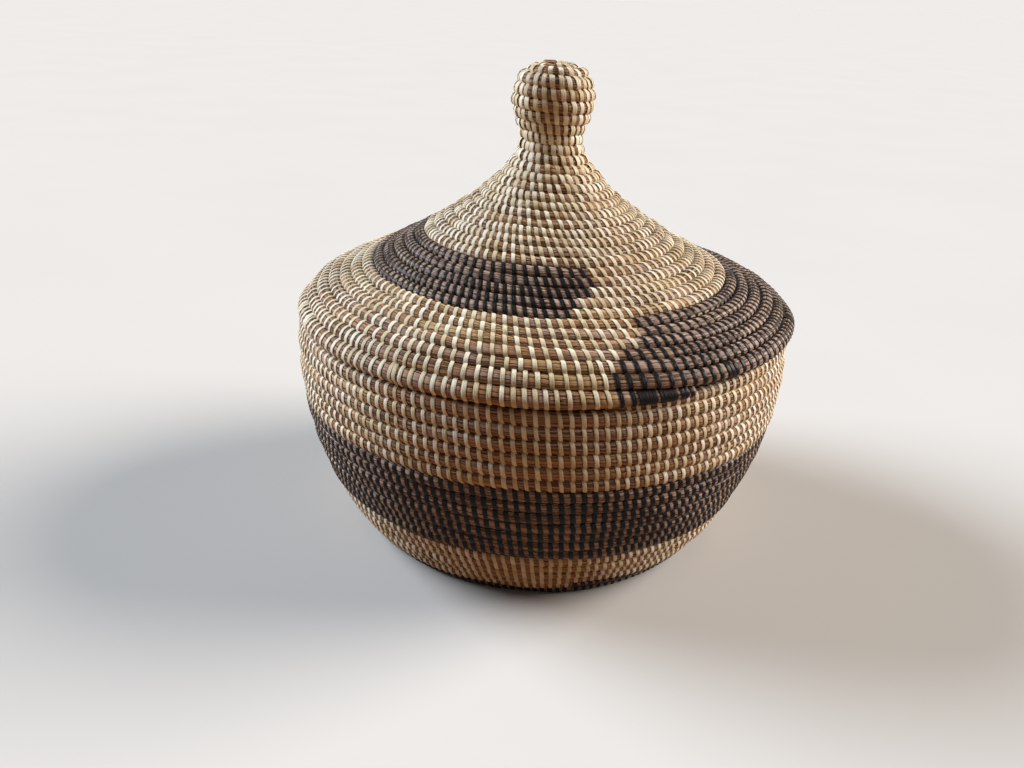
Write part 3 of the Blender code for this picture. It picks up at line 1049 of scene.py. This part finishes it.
@dataclass
class Lid:
    """The lid: one bundle from the knob's top down the neck and the cone to the edge.

    The tail's lengths are counts of turns back from the edge's tip, its steps are in
    millimetres, and the fields' ends are degrees about +Z, round by round from the edge.
    """

    kit: Kit
    edge_turns: tuple = (0.0, 1.0, 7.5, 12.5, 20.5)
    nodes: tuple = ("lid_edge_coil", "lid_outer_coil", "lid_middle_coil", "lid_upper_coil", "lid_knob_coil")
    heart_radius: float = 0.0050
    edge_step: float = 0.0058
    eased_rounds: float = 6.0
    step_turns: float = 0.065
    tail_out: float = 0.0036
    off_centre: float = 0.0025
    off_angle: float = math.radians(-35.0)
    tail_cut: float = 0.0128
    tail_black: float = 0.0580
    tail_bound: float = 0.0475
    tail_steps: tuple = (2.4, 2.4, 2.3, 2.4, 2.4, 5.0, 2.3, 2.4, 2.2, 2.4, 4.6, 2.3, 4.2, 2.3, 2.2, 2.1, 2.1)
    right_field: tuple = (-77.2, -77.8, -75.5, -73.0, -70.5, -68.0, -66.5)
    left_field: tuple = (-83.5, -80.2, -77.2, -74.2, -74.5)
    left_field_round: int = 8
    back_angle: float = 94.0
    right_back_steps: tuple = (0.0, 1.5, 3.8, 6.3, 8.8, 11.3, 13.0)
    left_back_steps: tuple = (0.0, 3.5, 6.0, 8.5, 9.0)
    turns: float = field(init=False)

    def coil(self) -> Coil:
        """Lays the lid's coil in the order of the work, and keeps its count of turns.

        Returns:
            The coil, from the knob out.
        """
        edge = BELLY_RADIUS * WALL_RADIUS_SHARES[-1] + LID_OVERHANG
        radii = [edge * share for share in CONE_RADIUS_SHARES]
        radii += [NECK_RADIUS, KNOB_RADIUS, KNOB_RADIUS * KNOB_SHOULDER_SHARE, 0.0]
        heights = [LID_HEIGHT * share for share in LID_HEIGHT_SHARES]
        counts, middle, pitch = wound(radii, heights, LID_PITCH_SHARES, LID_PITCHES, False)
        middle[:, 1] += LID_REST_HEIGHT
        self.turns = float(counts[-1])
        start = LID_TIP_ANGLE - TURN * self.turns
        kept = middle[:, 0] > self.heart_radius
        counts, middle, pitch = counts[kept], middle[kept], pitch[kept]
        part = counts % 1.0
        pitch = pitch * (1.0 + 0.10 * part * np.clip(1.0 - counts / self.eased_rounds, 0.0, 1.0))
        kept = counts > self.tail_cut
        tip = [[np.interp(self.tail_cut, counts, middle[:, i]) for i in (0, 1)]]
        middle, pitch = np.concatenate([tip, middle[kept]]), np.append(pitch[kept][0], pitch[kept])
        counts = np.append(self.tail_cut, counts[kept])
        return Coil(
            self.turns - counts[::-1], middle[::-1], pitch[::-1], start, 1.0, tip_turns=0.10,
            tip_share=0.62, seed=4, ease=self.ease,
        )

    def ease(self, places: np.ndarray) -> np.ndarray:
        """Returns how far out a place lies, so that the lid's edge keeps its width all round.

        Each of the outer rounds moves out on its way to the tail, and steps back in over it.
        The edge also sits a little off the middle, as the loose lid does in the photograph.

        Args:
            places: Counts of turns in the order of the work.

        Returns:
            The distances, in metres.
        """
        turns = np.maximum(self.turns - places, 0.0)
        whole = np.floor(turns)
        part = turns - whole
        room = self.edge_step * np.clip(1.0 - whole / self.eased_rounds, 0.0, 1.0)
        before = self.edge_step * np.clip(1.0 - (whole - 1.0) / self.eased_rounds, 0.0, 1.0)
        near = np.clip(part / self.step_turns, 0.0, 1.0)
        left = 1.0 - near * near * (3.0 - 2.0 * near)
        carried = np.where(whole > 0.0, before * 0.7 + room * 0.3, self.tail_out)
        sideways = np.cos(LID_TIP_ANGLE - TURN * turns - self.off_angle)
        slid = self.off_centre * sideways * np.clip(1.0 - turns / 14.0, 0.0, 1.0)
        return room * (part - 0.3) + carried * left + slid

    def build(self) -> None:
        """Builds the lid's coil."""
        coil = self.coil()
        plan = SewingPlan(
            float(coil.counts[0]) + 0.02,
            self.turns - self.tail_bound,
            radii=(0.005, 0.025, 0.045, 0.095, 0.140, 0.163, 0.171, 0.179, 0.186, 0.190),
            start=0.0052,
            most=(0.0066, 0.0070, 0.0074, 0.0081, 0.0086, 0.0090, 0.0091, 0.0092, 0.0092, 0.0092),
            least=(0.0036, 0.0038, 0.0036, 0.0038, 0.0040, 0.0040, 0.0040, 0.0040, 0.0040, 0.0040),
            drift=(0.0008, 0.0014, 0.0022, 0.0026, 0.0020, 0.0018, 0.0015, 0.0013, 0.0013, 0.0013),
            lean=(0.0010, 0.0020, 0.0036, 0.0045, 0.0045, 0.0045, 0.0020, 0.0015, 0.0025, 0.0025),
        )
        sewing = Sewing(coil, plan, 23)
        self.sew_edge(sewing)
        sewn = SewnCoil(coil, sewing, self.kit, "lid", seed=33)
        bounds = [self.turns - count for count in self.edge_turns] + [float(coil.counts[0])]
        stretches = [(node, bounds[i + 1], bounds[i]) for i, node in enumerate(self.nodes)]
        sewn.dress(stretches, self.black)

    def sew_edge(self, sewing: Sewing) -> None:
        """Doubles some strips of the edge round, and binds its tail closely.

        Args:
            sewing: The lid's sewing, which is changed.
        """
        coil, chance = sewing.coil, np.random.default_rng(41)
        feet, heads = list(sewing.feet), list(sewing.heads)
        for foot, head in zip(sewing.feet, sewing.heads):
            if self.turns - head < 1.0 and chance.random() < 0.15:
                around = TURN * float(coil.radius(head))
                feet.append(foot + 0.0021 / around)
                heads.append(head + 0.0041 / around)
        turn = self.turns - self.tail_bound
        for step in self.tail_steps:
            around = TURN * float(coil.radius(turn))
            turn += step / 1000.0 / around
            if turn < coil.last - 0.0012:
                feet.append(turn - 0.0012 / around)
                heads.append(turn + chance.normal(0.0006, 0.0005) / around)
        sewing.feet, sewing.heads = feet, heads
        sewing.settle()

    def black(self, places: np.ndarray) -> np.ndarray:
        """Finds the two stepped fields, and the black tail.

        Args:
            places: Counts of turns in the order of the work.

        Returns:
            Which of them are sewn black.
        """
        turns = self.turns - places
        dark = turns < self.tail_black
        for number, left in enumerate(self.right_field):
            start = (LID_TIP_DEGREES - self.back_angle + self.right_back_steps[number]) / 360.0 + number
            dark |= (turns > start) & (turns < (LID_TIP_DEGREES - left) / 360.0 + number)
        for number, right in enumerate(self.left_field):
            whole = self.left_field_round - 1 + number
            end = (LID_TIP_DEGREES + 360.0 - self.back_angle - self.left_back_steps[number]) / 360.0 + whole
            dark |= (turns > (LID_TIP_DEGREES - right) / 360.0 + whole) & (turns < end)
        return dark


@dataclass
class LocatingRing:
    """Two rounds of bundle under the lid that keep it centred in the mouth."""

    kit: Kit
    radius: float = 0.1694
    top: float = 0.1776
    bottom: float = 0.1624
    pitch: float = 0.0086
    start_angle: float = 2.1
    points: int = 120

    def build(self) -> None:
        """Builds the ring, worked downwards from the lid."""
        turns, points = (self.top - self.bottom) / self.pitch, self.points
        heights = np.linspace(self.top, self.bottom, points)
        coil = Coil(
            np.linspace(0.0, turns, points), np.stack([np.full(points, self.radius), heights], axis=1),
            np.full(points, self.pitch), self.start_angle, 1.0, tip_turns=0.06, wander=0.0001, seed=9,
        )
        plan = SewingPlan(
            0.0, turns - 0.01, start=0.0072, most=0.0105, least=0.004, drift=0.0008, lean=0.003
        )
        sewn = SewnCoil(coil, Sewing(coil, plan, 24), self.kit, "lid", seed=34)
        sewn.dress([("lid_locating_ring", 0.0, turns)], lambda places: places < 0.0)


@dataclass
class KnobStub:
    """The start of the lid's bundle, which lies flat across the top of the knob."""

    kit: Kit
    length: float = 0.0170
    width: float = 0.0088
    thickness: float = 0.0052
    top: float = 0.3580
    turned: float = math.radians(8.0)
    rounding: float = 0.0011
    strip_width: float = 0.0028
    strip_places: tuple = ((0.0010, 0.0009), (0.0042, 0.0003), (0.0068, -0.0004))
    strip_reach: tuple = (0.0097, 0.0098)
    lean_height: float = 0.005

    def stub(self) -> bpy.types.Object:
        """Models the flattened end of the bundle from a cylinder, with rounded cut ends.

        Returns:
            The stub, about the origin.
        """
        deselect()
        bpy.ops.mesh.primitive_cylinder_add(
            vertices=20, radius=0.5, depth=1.0, end_fill_type="NGON", rotation=(0.0, math.pi / 2.0, 0.0)
        )
        item = bpy.context.object
        item.name = "knob_core_grass"
        bpy.ops.object.transform_apply(location=False, rotation=True, scale=False)
        item.scale = (self.length, self.width, self.thickness)
        bpy.ops.object.transform_apply(location=False, rotation=False, scale=True)
        bpy.ops.object.mode_set(mode="EDIT")
        bpy.ops.mesh.select_all(action="DESELECT")
        bpy.ops.object.mode_set(mode="OBJECT")
        for face in item.data.polygons:
            face.select = abs(face.normal.x) > 0.9
        bpy.ops.object.mode_set(mode="EDIT")
        bpy.ops.mesh.bevel(offset=self.rounding, segments=3, affect="EDGES")
        bpy.ops.mesh.select_all(action="SELECT")
        bpy.ops.mesh.subdivide(number_cuts=1)
        bpy.ops.object.mode_set(mode="OBJECT")
        corners = corners_of(item)
        order = np.lexsort(corners.round(6).T)
        faces = faces_in_order(item, order)
        item.data.clear_geometry()
        item.data.from_pydata(corners[order], [], faces)
        return item

    def build(self) -> None:
        """Builds the stub and the strips over its right half."""
        item = self.stub()
        spin = Matrix.Rotation(self.turned, 4, "Z")
        spin.translation = Vector((0.0, 0.0, self.top - self.thickness / 2.0))
        corners = corners_of(item)
        layer = item.data.uv_layers.new(name="winding")
        for loop in item.data.loops:
            x, y, z = corners[loop.vertex_index]
            around = math.atan2(z / self.thickness, y / self.width) / TURN + 0.5
            layer.data[loop.index].uv = (x * 3.0 + 1.7, around)
        item.data.transform(spin)
        smooth(item, 50.0)
        finish_piece(item, "lid", "knob_core", self.kit.grass)
        wide, out, ahead = self.kit.pattern.corners.T
        high, deep = self.strip_reach
        side, up = ahead * self.width / deep, out * self.thickness / high
        rows = [
            np.stack([wide * self.strip_width + place + ahead * lean / self.lean_height, -side, up], axis=1)
            for place, lean in self.strip_places
        ]
        corners = np.concatenate(rows) @ np.array(spin.to_3x3()).T + np.array(spin.translation)
        faces, rows = self.kit.pattern.copies(len(self.strip_places))
        strips = new_piece("knob_core_cream_strips", corners, [faces], {"strip": rows})
        finish_piece(strips, "lid", "knob_core", self.kit.strips[Strip.CREAM])


@dataclass
class Studio:
    """The camera at the photograph's viewing angle, a pale floor and soft light."""

    focal_pixels: float = 880.1
    image_width: float = 1024.0
    sensor: float = 36.0
    place: tuple = (-0.0213, -0.6669, 0.4043)
    tilt_down: float = math.radians(24.28)
    roll: float = math.radians(2.44)
    floor_colour: tuple = linear(206, 201, 194)
    backdrop_colour: tuple = linear(239, 236, 234)
    bounce_colour: tuple = linear(138, 96, 60)
    floor_width: float = 90.0
    lamps: tuple = (
        ("right_window", 12.0, 27.0, 5.0, (1.0, 0.955, 0.925)),
        ("left_window", 161.0, 28.0, 5.4, (0.77, 0.865, 1.0)),
    )
    lamp_spread: float = math.radians(36.0)
    surroundings: float = 0.085
    surroundings_colour: tuple = (1.0, 0.95, 0.88, 1.0)

    def camera(self) -> None:
        """Adds the camera."""
        made = bpy.data.cameras.new("view")
        made.sensor_width = self.sensor
        made.lens = self.focal_pixels * self.sensor / self.image_width
        made.clip_start = 0.01
        item = placed("view", made)
        tilted = Matrix.Rotation(math.pi / 2.0 - self.tilt_down, 4, "X")
        rolled = Matrix.Rotation(self.roll, 4, "Z")
        item.matrix_world = Matrix.Translation(self.place) @ tilted @ rolled
        bpy.context.scene.camera = item

    def floor(self) -> None:
        """Adds the floor, a wide level plane of a faintly mottled pale colour."""
        deselect()
        bpy.ops.mesh.primitive_plane_add(size=self.floor_width, location=(0.0, 0.0, 0.0))
        item = bpy.context.object
        item.name = "studio_floor"
        made = Surface("pale_floor")
        place = made.node("ShaderNodeTexCoord", {}, {}).outputs["Object"]
        mottle = made.noise(place, 3.0, 2.0)
        deep = tuple(part * 0.95 for part in self.floor_colour[:3]) + (1.0,)
        pale = made.blend(mottle, self.floor_colour, deep)
        shown = made.blend(made.background_share(), self.bounce_colour, pale)
        look = made.finish({"Base Color": shown, "Roughness": 0.9, "Specular IOR Level": 0.0})
        item.data.materials.append(look)

    def light(self) -> None:
        """Adds the two windows' light, each a broad soft sun, and the pale surroundings."""
        for name, round_, up, strength, colour in self.lamps:
            made = bpy.data.lights.new(name, "SUN")
            made.energy = strength
            made.angle = self.lamp_spread
            made.color = colour
            item = placed(name, made)
            item.rotation_euler = (math.radians(90.0 - up), 0.0, math.radians(round_ + 90.0))
        world = bpy.data.worlds.new("surroundings")
        bpy.context.scene.world = world
        world.use_nodes = True
        made = Nodes(world.node_tree)
        lit = made.tree.nodes["Background"]
        made.feed(lit.inputs["Color"], self.surroundings_colour)
        made.feed(lit.inputs["Strength"], self.surroundings)
        seen = made.node("ShaderNodeBackground", {}, {"Color": self.backdrop_colour})
        inputs = {0: made.background_share(), 1: lit.outputs[0], 2: seen.outputs[0]}
        mix = made.node("ShaderNodeMixShader", {}, inputs)
        made.feed(made.tree.nodes["World Output"].inputs[0], mix.outputs[0])

    def build(self) -> None:
        """Sets the stage."""
        self.camera()
        self.floor()
        self.light()
        bpy.context.scene.view_settings.view_transform = "Standard"


def main() -> None:
    """Builds the stage, the basket and its lid."""
    logging.basicConfig(level=logging.INFO, format="%(message)s")
    Studio().build()
    kit = Kit(StripPattern(), GrassFinish().material(), {kind: kind.value.material() for kind in Strip})
    for part in (Bowl, Lid, LocatingRing, KnobStub):
        part(kit).build()


if __name__ == "__main__":
    main()
